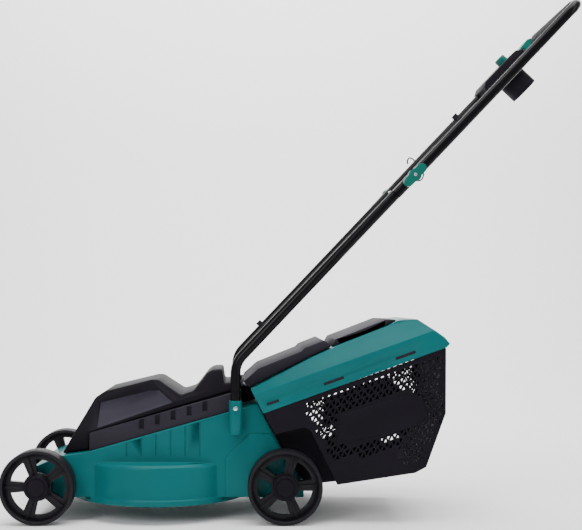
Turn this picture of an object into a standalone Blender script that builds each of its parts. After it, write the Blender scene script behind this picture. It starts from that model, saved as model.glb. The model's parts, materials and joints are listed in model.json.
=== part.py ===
"""Push lawn mower: a corded electric rotary mower with a folding handle and a rear grass box.

The machine frame has X running from the motor axis to the rear, Y to the mower's right and Z up
from the line of the axles. The whole mower hangs on one empty, which sets that frame over the
middle of the mower's footprint, on the ground.
"""

import math

import bmesh
import bpy
from mathutils import Matrix, Vector

# Clearances
GAP = 0.0003            # between faces that touch
RUN = 0.0006            # between a turning piece and what it turns on

# Blade and chamber
CUT_WIDTH = 0.320       # length of the blade
TIP_CLEARANCE = 0.011   # from the blade's tip to the chamber wall
WALL = 0.004            # moulded wall of the deck
FLANGE = 0.004          # width of the rim round the chamber's foot
CHAMBER_TOP = 0.0415    # height of the motor plate
DECK_BOTTOM = -0.0355   # the chamber's lower rim
BODY_BOTTOM = -0.0255   # lower edge of the deck's ends

# Deck
DECK_HALF = 0.130       # half the width of the deck's body
TOP_SLOPE = 0.2817      # rise of the deck's upper edge towards the rear
TOP_AT_MOTOR = 0.0984   # height of that edge beside the motor
FRONT_SPACE = 0.0360    # between the chamber and a front wheel
REAR_SPACE = 0.0615     # between the chamber and a rear wheel
TUNNEL_HALF = 0.100     # half the width of the discharge tunnel
TUNNEL_FLOOR = 0.0145
TUNNEL_ROOF = 0.115

# Wheels
WHEEL_R = 0.0705
WHEEL_WIDTH = 0.045
WHEEL_OFFSET = 0.008    # between the deck's side and a wheel
AXLE_R = 0.005
HUB_R = 0.0235

# Handle
TUBE_R = 0.0095
TUBE_WALL = 0.0012
TUBE_OFFSET = 0.018     # from the deck's side to the middle of a lower tube
SOCKET_R = 0.0122
SOCKET_LOW = 0.0975
SOCKET_HIGH = 0.1615
BEND_Z = 0.2325         # corner where a lower tube leans back
BEND_R = 0.050
HANDLE_ANGLE = math.radians(46.5)
LOWER_LENGTH = 0.485    # from that corner to the fold
LOWER_END = 0.020       # of a lower tube past the fold
UPPER_LENGTH = 0.4555   # from the fold to the crossbar
UPPER_STUB = 0.046      # of an upper tube below the fold
BOW_R = 0.034           # corners of the bow
GRIP_R = 0.0118
GRIP_HALF = 0.126
BOLT_R = 0.003
CABLE_R = 0.0025
CABLE_OFF = TUBE_R + CABLE_R + 0.0020   # from a tube's middle to the lead beside it

# Switch housing; places are along and across the bow, from the fold
SWITCH_Y = (0.085, 0.184)     # across the mower
SWITCH_S = (0.290, 0.400)     # along the bow from the fold
SWITCH_TOP = 0.0175
SWITCH_LOW = -0.0150
BUTTON = (0.375, 0.142)       # along and across the bow
BUTTON_R = 0.0125
INLET = (0.362, 0.142)
INLET_R = 0.031
INLET_DEPTH = 0.0435
LEVER_AXIS = (0.4062, 0.0055)
LEVER_Y = (0.0878, 0.1358)

# Motor cover
BAND_HEIGHT = 0.034     # of the vented band between deck and cover
COVER_HALF = 0.112      # half the cover's width at its foot
COVER_TOP_HALF = 0.084
COVER_WALL = 0.003

# Motor and cutting set
MOTOR_R = 0.048
MOTOR_HEIGHT = 0.100
SHAFT_R = 0.006
BLADE_THICK = 0.003
BLADE_Z = -0.018

# Rear flap and grass box
HINGE_R = 0.003
FLAP_HALF = 0.122
BARREL_HALF = 0.0745     # of the flap's hinge barrel, between the cover's lugs
BOX_HALF = 0.158
BOX_INNER_HALF = 0.118  # between the rear wheels
BOX_WALL = 0.0025
LID_SLOPE = math.atan(0.3556)
LID_SIDE = 0.040        # upright part of the lid's side
CLIP_POCKETS = ((0.024, 0.012), (0.146, 0.020), (0.290, 0.020))   # along the lid's edge, and half length

# Worked out from the sizes above
CHAMBER_R = CUT_WIDTH / 2 + TIP_CLEARANCE + WALL
SKIRT_R = CHAMBER_R + FLANGE
WHEEL_IN = DECK_HALF + WHEEL_OFFSET
CHAMBER_REACH = math.sqrt(max(SKIRT_R**2 - WHEEL_IN**2, 0.0))
FRONT_X = -(CHAMBER_REACH + WHEEL_R + FRONT_SPACE)
REAR_X = CHAMBER_REACH + WHEEL_R + REAR_SPACE
DECK_FRONT = FRONT_X - 0.018
BAND_FRONT = FRONT_X + 0.0925
COVER_REAR = REAR_X - 0.084
HINGE_X = REAR_X - 0.076
HINGE_Z = 0.190
SOCKET_X = REAR_X - 0.0935
LOWER_Y = DECK_HALF + TUBE_OFFSET
UPPER_Y = LOWER_Y + 2 * TUBE_R + 2 * RUN
PIVOT_X = SOCKET_X + LOWER_LENGTH * math.cos(HANDLE_ANGLE)
PIVOT_Z = BEND_Z + LOWER_LENGTH * math.sin(HANDLE_ANGLE)
TIP_X = PIVOT_X + UPPER_LENGTH * math.cos(HANDLE_ANGLE)
MOTOR_BASE = CHAMBER_TOP + GAP
CABLE_Y = UPPER_Y - CABLE_OFF
FOOTPRINT_FRONT = FRONT_X - WHEEL_R
INLET_REAR = (PIVOT_X + (INLET[0] + INLET_R) * math.cos(HANDLE_ANGLE)
              + (INLET_DEPTH - SWITCH_LOW + GAP) * math.sin(HANDLE_ANGLE))
FOOTPRINT_REAR = max(TIP_X + GRIP_R, INLET_REAR)


def top_edge(x):
    """Height of the deck's upper edge at x."""
    return TOP_AT_MOTOR + TOP_SLOPE * x


# ---------------------------------------------------------------- tools


TURN = {
    "X": Matrix(((0, 0, 1, 0), (1, 0, 0, 0), (0, 1, 0, 0), (0, 0, 0, 1))),
    "Y": Matrix(((1, 0, 0, 0), (0, 0, -1, 0), (0, 1, 0, 0), (0, 0, 0, 1))),
    "Z": Matrix.Identity(4),
}
ALONG = {"X": Vector((1, 0, 0)), "Y": Vector((0, 1, 0)), "Z": Vector((0, 0, 1))}


def new_collection(name):
    collection = bpy.data.collections.new(name)
    bpy.context.scene.collection.children.link(collection)
    return collection


def new_object(name, data):
    obj = bpy.data.objects.new(name, data)
    MOWER.objects.link(obj)
    return obj


def from_bmesh(bm, name="work"):
    mesh = bpy.data.meshes.new(name)
    bm.to_mesh(mesh)
    bm.free()
    return new_object(name, mesh)


def freeze(obj):
    """The object's evaluated shape as a plain welded mesh, with outward faces."""
    graph = bpy.context.evaluated_depsgraph_get()
    mesh = bpy.data.meshes.new_from_object(obj.evaluated_get(graph))
    bm = bmesh.new()
    bm.from_mesh(mesh)
    bmesh.ops.transform(bm, matrix=obj.matrix_world, verts=bm.verts)
    bmesh.ops.remove_doubles(bm, verts=bm.verts, dist=0.00001)
    bmesh.ops.recalc_face_normals(bm, faces=bm.faces)
    bm.to_mesh(mesh)
    bm.free()
    bpy.data.objects.remove(obj, do_unlink=True)
    return new_object("work", mesh)


def prism(outline, axis, low, high):
    """A flat outline made solid along an axis: (x, z) for Y, (x, y) for Z and (y, z) for X."""
    curve = bpy.data.curves.new("outline", "CURVE")
    curve.dimensions = "2D"
    curve.fill_mode = "BOTH"
    curve.extrude = (high - low) / 2
    spline = curve.splines.new("POLY")
    spline.points.add(len(outline) - 1)
    for point, (a, b) in zip(spline.points, outline):
        point.co = (a, b, 0, 1)
    spline.use_cyclic_u = True
    obj = new_object("outline", curve)
    obj.matrix_world = Matrix.Translation(ALONG[axis] * (low + high) / 2) @ TURN[axis]
    bpy.context.view_layer.update()
    return freeze(obj)


def block(low, high):
    bm = bmesh.new()
    low, high = Vector(low), Vector(high)
    place = Matrix.Translation((low + high) / 2) @ Matrix.Diagonal((*(high - low), 1))
    bmesh.ops.create_cube(bm, size=1, matrix=place)
    return from_bmesh(bm)


def rod(radius, axis, low, high, at=(0, 0), segments=16, end_radius=None):
    """A cylinder or a cone along an axis; at is its place across that axis."""
    bm = bmesh.new()
    across = {"X": (1, 2), "Y": (0, 2), "Z": (0, 1)}[axis]
    middle = ALONG[axis] * (low + high) / 2
    for index, value in zip(across, at):
        middle[index] = value
    turn = {"X": Matrix.Rotation(math.pi / 2, 4, "Y"), "Y": Matrix.Rotation(-math.pi / 2, 4, "X")}
    bmesh.ops.create_cone(
        bm, cap_ends=True, segments=segments, radius1=radius,
        radius2=radius if end_radius is None else end_radius, depth=high - low,
        matrix=Matrix.Translation(middle) @ turn.get(axis, Matrix.Identity(4)))
    return from_bmesh(bm)


def turned(profile, axis="Z", at=(0, 0, 0), steps=24, ring=False):
    """A profile of (radius, height) points, from the top down its outer side, turned about an axis."""
    mesh = bpy.data.meshes.new("profile")
    edges = [(i, i + 1) for i in range(len(profile) - 1)]
    if ring:
        edges.append((len(profile) - 1, 0))
    mesh.from_pydata([(radius, 0, height) for radius, height in profile], edges, [])
    obj = new_object("profile", mesh)
    screw = obj.modifiers.new("turn", "SCREW")
    screw.steps = steps
    screw.render_steps = steps
    screw.use_merge_vertices = True
    screw.merge_threshold = 0.00001
    turn = {"Y": Matrix.Rotation(-math.pi / 2, 4, "X"), "X": Matrix.Rotation(math.pi / 2, 4, "Y")}
    obj.matrix_world = Matrix.Translation(at) @ turn.get(axis, Matrix.Identity(4))
    bpy.context.view_layer.update()
    return freeze(obj)


def wire(points, radius, sides=4, closed=False):
    """A round bar along a list of points, its ends capped."""
    curve = bpy.data.curves.new("wire", "CURVE")
    curve.dimensions = "3D"
    curve.bevel_depth = radius
    curve.bevel_resolution = sides
    curve.use_fill_caps = not closed
    spline = curve.splines.new("POLY")
    spline.points.add(len(points) - 1)
    for point, place in zip(spline.points, points):
        point.co = (*place, 1)
    spline.use_cyclic_u = closed
    return freeze(new_object("wire", curve))


def pipe(points, radius, wall, sides=3):
    """A hollow tube along a list of points, open at both ends."""
    curve = bpy.data.curves.new("pipe", "CURVE")
    curve.dimensions = "3D"
    curve.bevel_depth = radius
    curve.bevel_resolution = sides
    spline = curve.splines.new("POLY")
    spline.points.add(len(points) - 1)
    for point, place in zip(spline.points, points):
        point.co = (*place, 1)
    skin = freeze(new_object("pipe", curve))
    solid = skin.modifiers.new("wall", "SOLIDIFY")
    solid.thickness = wall
    solid.offset = -1
    solid.use_even_offset = True
    return freeze(skin)


def combine(obj, other, operation):
    modifier = obj.modifiers.new("combine", "BOOLEAN")
    modifier.operation = operation
    modifier.solver = "EXACT"
    modifier.object = other
    bpy.context.view_layer.update()
    result = freeze(obj)
    bpy.data.objects.remove(other, do_unlink=True)
    return result


def cut(obj, *others):
    for other in others:
        obj = combine(obj, other, "DIFFERENCE")
    return obj


def join(obj, *others):
    for other in others:
        obj = combine(obj, other, "UNION")
    return obj


def soften(obj, width, segments=1, angle=35):
    bevel = obj.modifiers.new("edges", "BEVEL")
    bevel.width = width
    bevel.segments = segments
    bevel.limit_method = "ANGLE"
    bevel.angle_limit = math.radians(angle)
    return obj


def inset(outline, depth):
    """The outline moved inwards by depth, each corner mitred. It runs clockwise or anticlockwise."""
    count = len(outline)
    area = sum(outline[i][0] * outline[(i + 1) % count][1] - outline[(i + 1) % count][0] * outline[i][1]
               for i in range(count))
    side = 1 if area > 0 else -1
    result = []
    for i in range(count):
        before = Vector(outline[i - 1])
        here = Vector(outline[i])
        after = Vector(outline[(i + 1) % count])
        first = (here - before).normalized()
        second = (after - here).normalized()
        inward = [Vector((-d.y, d.x)) * side for d in (first, second)]
        mitre = (inward[0] + inward[1]).normalized()
        result.append(tuple(here + mitre * depth / max(mitre.dot(inward[0]), 0.3)))
    return result


def arc(centre, radius, start, end, count):
    """Points on a round stretch, angles in radians."""
    return [(centre[0] + radius * math.cos(start + (end - start) * i / count),
             centre[1] + radius * math.sin(start + (end - start) * i / count)) for i in range(count + 1)]


def material(name, colour, roughness, metallic=0.0):
    made = bpy.data.materials.new(name)
    made.use_nodes = True
    shader = made.node_tree.nodes["Principled BSDF"]
    shader.inputs["Base Color"].default_value = (*colour, 1)
    shader.inputs["Roughness"].default_value = roughness
    shader.inputs["Metallic"].default_value = metallic
    return made


def pivot(name, parent, place, turn=0.0):
    """An empty on a joint's axis; its pieces are modelled in its parent's frame or in its own."""
    empty = bpy.data.objects.new(name + "_axis", None)
    MOWER.objects.link(empty)
    empty.parent = parent
    empty.location = place
    empty.rotation_euler = (0, turn, 0)
    return empty


def finish(obj, name, made_of, body, own_frame=False):
    """Names a piece, gives it its material and hangs it on its body's empty."""
    obj.name = name
    obj.data.name = name
    obj.data.materials.clear()
    obj.data.materials.append(made_of)
    obj.parent = body
    if not own_frame:
        obj.location = -body.location
    obj.data.shade_smooth()
    obj.data.set_sharp_from_angle(angle=math.radians(30))
    return obj


def mirrored(obj):
    """A copy of a piece on the other side of the mower."""
    copy = new_object("work", obj.data.copy())
    copy.data.transform(Matrix.Diagonal((1, -1, 1, 1)))
    copy.data.flip_normals()
    return copy


SIDES = (("left", -1), ("right", 1))


# ---------------------------------------------------------------- deck and cover


def deck_outline():
    return [(DECK_FRONT, BODY_BOTTOM), (DECK_FRONT, 0.0295), (FRONT_X + 0.0355, 0.0535),
            (BAND_FRONT - 0.003, top_edge(BAND_FRONT - 0.003)),
            (REAR_X - 0.0515, top_edge(REAR_X - 0.0515)), (REAR_X + 0.001, 0.0555),
            (REAR_X + 0.037, -0.0025), (REAR_X + 0.037, BODY_BOTTOM)]


def deck_shell(body, made_of):
    """Chamber drum, hollow body over it, discharge tunnel and the ribs on its sides."""
    outer = deck_outline()
    inner = inset(outer, WALL)
    inner[0] = (inner[0][0], BODY_BOTTOM - 0.01)
    inner[-1] = (inner[-1][0], BODY_BOTTOM - 0.01)
    shell = cut(prism(outer, "Y", -DECK_HALF, DECK_HALF),
                prism(inner, "Y", WALL - DECK_HALF, DECK_HALF - WALL))
    drum = turned([(0, CHAMBER_TOP), (CHAMBER_R - 0.006, CHAMBER_TOP), (CHAMBER_R, CHAMBER_TOP - 0.006),
                   (CHAMBER_R, DECK_BOTTOM + 0.012), (SKIRT_R, DECK_BOTTOM + 0.010),
                   (SKIRT_R, DECK_BOTTOM), (0, DECK_BOTTOM)], steps=64)
    tunnel = [(CHAMBER_R - 0.060, TUNNEL_FLOOR - WALL), (CHAMBER_R - 0.060, TUNNEL_ROOF + WALL),
              (REAR_X - 0.034, TUNNEL_ROOF + WALL), (REAR_X + 0.001, 0.0535), (REAR_X + 0.0265, TUNNEL_FLOOR - WALL)]
    shell = join(shell, drum, prism(tunnel, "Y", -TUNNEL_HALF - WALL, TUNNEL_HALF + WALL))
    for side in (-1, 1):
        panel = [(REAR_X - 0.113, BODY_BOTTOM + 0.002), (REAR_X - 0.113, 0.0505), (REAR_X - 0.066, 0.0965),
                 (REAR_X - 0.026, 0.0965), (REAR_X - 0.0005, 0.0540), (REAR_X + 0.035, -0.0032),
                 (REAR_X + 0.035, BODY_BOTTOM + 0.002)]
        low, high = sorted((side * (DECK_HALF - 0.002), side * (DECK_HALF + 0.003)))
        shell = join(shell, prism(panel, "Y", low, high))
    bore = CHAMBER_R - WALL
    shell = cut(shell, rod(bore, "Z", DECK_BOTTOM - 0.01, CHAMBER_TOP - WALL, segments=64),
                rod(0.0125, "Z", 0, CHAMBER_TOP + 0.01))
    passage = [(CHAMBER_R - 0.056, TUNNEL_FLOOR), (CHAMBER_R - 0.056, TUNNEL_ROOF), (REAR_X + 0.06, TUNNEL_ROOF),
               (REAR_X + 0.06, TUNNEL_FLOOR)]
    shell = cut(shell, prism(passage, "Y", -TUNNEL_HALF, TUNNEL_HALF),
                block((BAND_FRONT + 0.020, -0.098, CHAMBER_TOP + 0.003), (CHAMBER_R - 0.070, 0.098, 0.25)),
                rod(AXLE_R + RUN, "Y", -0.2, 0.2, (FRONT_X, 0), 16), rod(AXLE_R + RUN, "Y", -0.2, 0.2, (REAR_X, 0), 16))
    span = 0.140 * CHAMBER_R / 0.175
    for index in range(6):
        x = -0.057 * CHAMBER_R / 0.175 + span * index / 5
        for side in (-1, 1):
            low, high = sorted((side * (DECK_HALF - 0.0016), side * (DECK_HALF + 0.01)))
            shell = cut(shell, block((x, low, CHAMBER_TOP + 0.011), (x + 0.0028, high, top_edge(x) - 0.004)))
    return finish(shell, "deck_shell", made_of, body)


def cover_band(body, made_of):
    """The vented band that carries the motor cover, with its square notches."""
    start, end = BAND_FRONT, COVER_REAR
    ring = [(start, top_edge(start) + GAP), (start, top_edge(start) + BAND_HEIGHT),
            (end, top_edge(end) + BAND_HEIGHT), (end, top_edge(end) + GAP)]
    band = cut(prism(ring, "Y", -0.126, 0.126), block((start + 0.010, -0.108, 0), (end - 0.004, 0.108, 0.4)))
    for index in range(5):
        x = start + 0.095 + 0.0305 * index
        if x < end - 0.02:
            for side in (-1, 1):
                low, high = sorted((side * 0.1225, side * 0.14))
                band = cut(band, block((x, low, top_edge(x) + 0.015), (x + 0.010, high, top_edge(x) + 0.1)))
    return finish(band, "cover_band", made_of, body)


def cover_outline():
    span = REAR_X - FRONT_X

    def at(share):
        return FRONT_X + share * span

    foot = BAND_FRONT - 0.0015
    return [(at(0.0814), 0.0555), (at(0.2133), 0.1625), (at(0.2519), 0.1740), (at(0.4491), 0.1965),
            (at(0.4748), 0.1965), (at(0.5691), 0.1670), (at(0.6237), 0.1750), (at(0.6785), 0.2085),
            (at(0.6999), 0.2155), (at(0.7428), 0.2165), (at(0.7501), 0.1895), (COVER_REAR, 0.1920),
            (COVER_REAR, top_edge(COVER_REAR) + BAND_HEIGHT + GAP),
            (foot, top_edge(foot) + BAND_HEIGHT + GAP), (foot, top_edge(foot) + 0.0006)]


def motor_cover(body, made_of):
    """The faceted hood over the motor, open underneath, with a sunk panel on each side."""
    outer = cover_outline()
    across = [(-COVER_HALF, 0), (-COVER_HALF, 0.095), (-COVER_TOP_HALF, 0.196), (-COVER_TOP_HALF + 0.014, 0.25),
              (COVER_TOP_HALF - 0.014, 0.25), (COVER_TOP_HALF, 0.196), (COVER_HALF, 0.095), (COVER_HALF, 0)]
    hood = combine(prism(outer, "Y", -0.2, 0.2), prism(across, "X", -0.5, 0.5), "INTERSECT")
    inner = inset(outer, COVER_WALL)
    count = len(outer)
    for index in (count - 3, count - 2):
        inner[index] = (inner[index][0], inner[index][1] - 2.2 * COVER_WALL)
    hollow = combine(prism(inner, "Y", -0.2, 0.2), prism(inset(across, COVER_WALL + 0.002), "X", -0.5, 0.5),
                     "INTERSECT")
    hood = cut(hood, hollow)
    span = REAR_X - FRONT_X
    panel = [(FRONT_X + share * span, z) for share, z in
             ((0.198, 0.100), (0.237, 0.1530), (0.440, 0.1755), (0.480, 0.1755), (0.537, 0.1560))]
    panel[0] = (BAND_FRONT + 0.012, top_edge(BAND_FRONT) + BAND_HEIGHT + 0.008)
    panel[-1] = (panel[-1][0], top_edge(panel[-1][0]) + BAND_HEIGHT + 0.012)
    lean = (COVER_HALF - COVER_TOP_HALF) / 0.101
    for side in (-1, 1):
        low, high = sorted((side * (COVER_HALF - 0.0185), side * 0.2))
        sunk = prism(panel, "Y", low, high)
        for vertex in sunk.data.vertices:
            if abs(vertex.co.y) < 0.15:
                vertex.co.y = side * (COVER_HALF - 0.0018 - lean * (vertex.co.z - 0.095))
        hood = cut(hood, sunk)
    for side in (-1, 1):
        low, high = sorted((side * (BARREL_HALF + 0.0010), side * (BARREL_HALF + 0.0065)))
        lug = prism([(COVER_REAR - 0.010, 0.1800), (COVER_REAR - 0.010, 0.1915), (HINGE_X, HINGE_Z + 0.0058),
                     (HINGE_X + 0.0058, HINGE_Z), (HINGE_X, HINGE_Z - 0.0058)], "Y", low, high)
        hood = join(hood, lug)
    back = COVER_REAR + 0.0285
    apron = prism([(COVER_REAR - 0.0020, 0.1825), (back - 0.0130, 0.1825), (back, 0.1580),
                   (back, top_edge(back) + 0.0045), (COVER_REAR + 0.0008, top_edge(COVER_REAR) + 0.0055),
                   (COVER_REAR + 0.0008, 0.1790), (COVER_REAR - 0.0020, 0.1790)], "Y", -0.070, 0.070)
    hood = join(hood, apron)
    hood = cut(hood, rod(HINGE_R + GAP, "Y", -0.15, 0.15, (HINGE_X, HINGE_Z), 16))
    return finish(hood, "motor_cover", made_of, body)


def handle_socket(name, side, body, made_of):
    """A sleeve on the deck's side that takes the foot of a lower tube."""
    y = side * LOWER_Y
    low, high = sorted((side * (DECK_HALF + GAP), side * (LOWER_Y - TUBE_R / 2)))
    web = block((SOCKET_X - 0.007, low, SOCKET_LOW), (SOCKET_X + 0.007, high, SOCKET_HIGH - 0.008))
    sleeve = join(rod(SOCKET_R, "Z", SOCKET_LOW, SOCKET_HIGH, (SOCKET_X, y), 20), web)
    sleeve = cut(sleeve, rod(TUBE_R + GAP, "Z", SOCKET_LOW + 0.004, SOCKET_HIGH + 0.01, (SOCKET_X, y), 20),
                 screw_hole(side))
    return finish(sleeve, name, made_of, body)


def screw_hole(side, clearance=GAP):
    low, high = sorted((side * (LOWER_Y - 0.004), side * (LOWER_Y + 0.05)))
    return rod(0.0020 + clearance, "Y", low, high, (SOCKET_X, SOCKET_HIGH - 0.014), 12)


def socket_screw(name, side, body, made_of):
    face = LOWER_Y + SOCKET_R
    low, high = sorted((side * (LOWER_Y + 0.0005), side * (face + 0.001)))
    head_low, head_high = sorted((side * (face + 0.0004), side * (face + 0.003)))
    z = SOCKET_HIGH - 0.014
    screw = join(rod(0.0020, "Y", low, high, (SOCKET_X, z), 12),
                 rod(0.0042, "Y", head_low, head_high, (SOCKET_X, z), 16))
    return finish(screw, name, made_of, body)


# ---------------------------------------------------------------- motor and cutting set


def motor(fixed, rotor, paint):
    top = MOTOR_BASE + MOTOR_HEIGHT
    can = turned([(MOTOR_R, top), (MOTOR_R, MOTOR_BASE + 0.004), (MOTOR_R + 0.012, MOTOR_BASE + 0.004),
                  (MOTOR_R + 0.012, MOTOR_BASE), (0.0118, MOTOR_BASE), (0.0118, MOTOR_BASE + 0.010),
                  (0.018, MOTOR_BASE + 0.010), (0.018, MOTOR_BASE + 0.003), (MOTOR_R - 0.003, MOTOR_BASE + 0.003),
                  (MOTOR_R - 0.003, top)], ring=True)
    finish(can, "motor_can", paint["steel"], fixed)
    cap = turned([(0.0118, top + 0.014), (0.020, top + 0.014), (0.024, top + 0.006), (MOTOR_R, top + 0.004),
                  (MOTOR_R, top + GAP), (0.0118, top + GAP)], ring=True)
    finish(cap, "motor_end_cap", paint["alloy"], fixed)
    for name, z in (("bearing_lower", MOTOR_BASE + 0.001), ("bearing_upper", top + 0.005)):
        race = turned([(0.0115, z + 0.007), (0.0115, z), (SHAFT_R + GAP, z), (SHAFT_R + GAP, z + 0.007)],
                      ring=True, steps=24)
        finish(race, name, paint["bright"], fixed)
    finish(rod(SHAFT_R, "Z", BLADE_Z + BLADE_THICK + GAP, top + 0.016), "motor_shaft", paint["bright"], rotor)
    core = turned([(MOTOR_R - 0.008, top - 0.018), (MOTOR_R - 0.008, MOTOR_BASE + 0.022),
                   (SHAFT_R + GAP, MOTOR_BASE + 0.022), (SHAFT_R + GAP, top - 0.018)], ring=True)
    finish(core, "armature", paint["copper"], rotor)
    hub = turned([(0.022, 0.022), (0.028, BLADE_Z + BLADE_THICK + GAP), (SHAFT_R + GAP, BLADE_Z + BLADE_THICK + GAP),
                  (SHAFT_R + GAP, 0.022)], ring=True)
    fan = hub
    for index in range(6):
        vane = block((0.018, -0.0015, BLADE_Z + BLADE_THICK + 0.003), (0.058, 0.0015, 0.014))
        vane.data.transform(Matrix.Rotation(math.tau * index / 6, 4, "Z"))
        fan = join(fan, vane)
    finish(fan, "blade_fan", paint["black"], rotor)
    half = CUT_WIDTH / 2
    outline = [(-half, -0.024), (-half + 0.055, -0.024), (-0.045, -0.021), (half, -0.021),
               (half, 0.024), (half - 0.055, 0.024), (0.045, 0.021), (-half, 0.021)]
    blade = cut(prism(outline, "Z", BLADE_Z, BLADE_Z + BLADE_THICK), rod(0.0046, "Z", -0.1, 0.1))
    finish(blade, "blade", paint["bright"], rotor)
    washer = turned([(0.018, BLADE_Z - GAP), (0.018, BLADE_Z - 0.003), (0.0046, BLADE_Z - 0.003),
                     (0.0046, BLADE_Z - GAP)], ring=True, steps=24)
    finish(washer, "blade_washer", paint["steel"], rotor)
    bolt = join(rod(0.0040, "Z", BLADE_Z - 0.004, BLADE_Z + BLADE_THICK - 0.0002),
                rod(0.0085, "Z", BLADE_Z - 0.010, BLADE_Z - 0.003 - GAP, segments=6))
    finish(bolt, "blade_bolt", paint["bright"], rotor)


# ---------------------------------------------------------------- running gear


def wheel(side, x, phase):
    """A moulded wheel: tread ring, web with five windows and a hub; its outer face has the hub cap's seat."""
    inner, outer = WHEEL_IN, WHEEL_IN + WHEEL_WIDTH - 0.005
    middle = (inner + outer) / 2
    rim = WHEEL_R - 0.0080
    profile = [(WHEEL_R - 0.002, outer), (WHEEL_R, outer - 0.003), (WHEEL_R, inner + 0.003), (WHEEL_R - 0.002, inner),
               (rim, inner), (rim, middle - 0.004), (HUB_R, middle - 0.004), (HUB_R, inner + 0.002),
               (AXLE_R + RUN, inner + 0.002), (AXLE_R + RUN, outer - 0.008), (HUB_R, outer - 0.008),
               (HUB_R, middle + 0.006), (rim, middle + 0.006), (rim, outer)]
    hoop = turned(profile, "Y", (x, 0, 0), 28, ring=True)
    for index in range(5):
        start = math.radians(72 * index + phase - 23)
        end = math.radians(72 * index + phase + 23)
        window = arc((x, 0), rim - 0.010, start, end, 4) + arc((x, 0), HUB_R + 0.004, end - 0.12, start + 0.12, 2)
        hoop = cut(hoop, prism(window, "Y", inner - 0.01, outer + 0.01))
    return hoop if side > 0 else flipped(hoop)


def flipped(obj):
    copy = mirrored(obj)
    bpy.data.objects.remove(obj, do_unlink=True)
    return copy


def hub_cap(side, x):
    outer = WHEEL_IN + WHEEL_WIDTH - 0.005
    cap = turned([(0, outer + 0.003), (HUB_R - 0.006, outer + 0.002), (HUB_R, outer - 0.003),
                  (HUB_R, outer - 0.008 + GAP), (0, outer - 0.008 + GAP)], "Y", (x, 0, 0), 24)
    return cap if side > 0 else flipped(cap)


def running_gear(fixed, root, paint):
    reach = WHEEL_IN + WHEEL_WIDTH - 0.005 - 0.008 - GAP
    for end, x, phase in (("front", FRONT_X, 0), ("rear", REAR_X, 40)):
        finish(rod(AXLE_R, "Y", -reach, reach, (x, 0), 20), end + "_axle", paint["bright"], fixed)
        for name, side in SIDES:
            body = pivot(f"wheel_{end}_{name}", root, (x, 0, 0))
            finish(wheel(side, x, phase), f"wheel_{end}_{name}", paint["tyre"], body)
            finish(hub_cap(side, x), f"hub_cap_{end}_{name}", paint["black"], body)
            low, high = sorted((side * (DECK_HALF - WALL - 0.012), side * (DECK_HALF - WALL - GAP)))
            clip = join(rod(0.0115, "Y", low, high, (x, 0), 20), block((x - 0.010, low, 0), (x + 0.010, high, 0.0095)))
            clip = cut(clip, rod(AXLE_R + GAP, "Y", -0.2, 0.2, (x, 0), 20))
            finish(clip, f"axle_bush_{end}_{name}", paint["black"], fixed)


# ---------------------------------------------------------------- handle


def lower_path(side):
    """Up from the socket, round the bend, and back along the handle past the fold."""
    y = side * LOWER_Y
    turn = math.pi / 2 - HANDLE_ANGLE
    reach = BEND_R * math.tan(turn / 2)
    points = [(SOCKET_X, y, SOCKET_LOW + 0.0045)]
    for x, z in arc((SOCKET_X + BEND_R, BEND_Z - reach), BEND_R, math.pi, math.pi - turn, 7):
        points.append((x, y, z))
    end = LOWER_LENGTH + LOWER_END
    points.append((SOCKET_X + end * math.cos(HANDLE_ANGLE), y, BEND_Z + end * math.sin(HANDLE_ANGLE)))
    return points


def bow_path():
    """The upper tube in the bow's own frame: up one side, across and down the other."""
    corner = UPPER_LENGTH - BOW_R
    inside = UPPER_Y - BOW_R
    points = [(-UPPER_STUB, -UPPER_Y)]
    points += arc((corner, -inside), BOW_R, -math.pi / 2, 0, 7)
    points += arc((corner, inside), BOW_R, 0, math.pi / 2, 7)
    points.append((-UPPER_STUB, UPPER_Y))
    return [(s, y, 0) for s, y in points]


def tubes(fixed, bow, paint):
    for name, side in SIDES:
        tube = pipe(lower_path(side), TUBE_R, TUBE_WALL)
        tube = cut(tube, rod(BOLT_R + GAP, "Y", -0.3, 0.3, (PIVOT_X, PIVOT_Z), 16), screw_hole(side))
        finish(tube, f"lower_tube_{name}", paint["tube"], fixed)
        inner = LOWER_Y - TUBE_R
        head = turned([(0, -0.0045), (0.004, -0.004), (0.0055, -GAP), (BOLT_R, -GAP),
                       (BOLT_R, UPPER_Y + TUBE_R + 0.019 - inner), (0, UPPER_Y + TUBE_R + 0.019 - inner)],
                      "Y", (PIVOT_X, inner, PIVOT_Z), 16)
        finish(head if side > 0 else flipped(head), f"pivot_bolt_{name}", paint["bright"], fixed)
    tube = cut(pipe(bow_path(), TUBE_R, TUBE_WALL), rod(BOLT_R + GAP, "Y", -0.3, 0.3, (0, 0), 16))
    finish(tube, "handle_bow", paint["tube"], bow, True)
    sleeve = cut(rod(GRIP_R, "Y", -GRIP_HALF, GRIP_HALF, (UPPER_LENGTH, 0), 24),
                 rod(TUBE_R + GAP, "Y", -0.2, 0.2, (UPPER_LENGTH, 0), 24))
    finish(sleeve, "grip", paint["grip"], bow, True)


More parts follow.
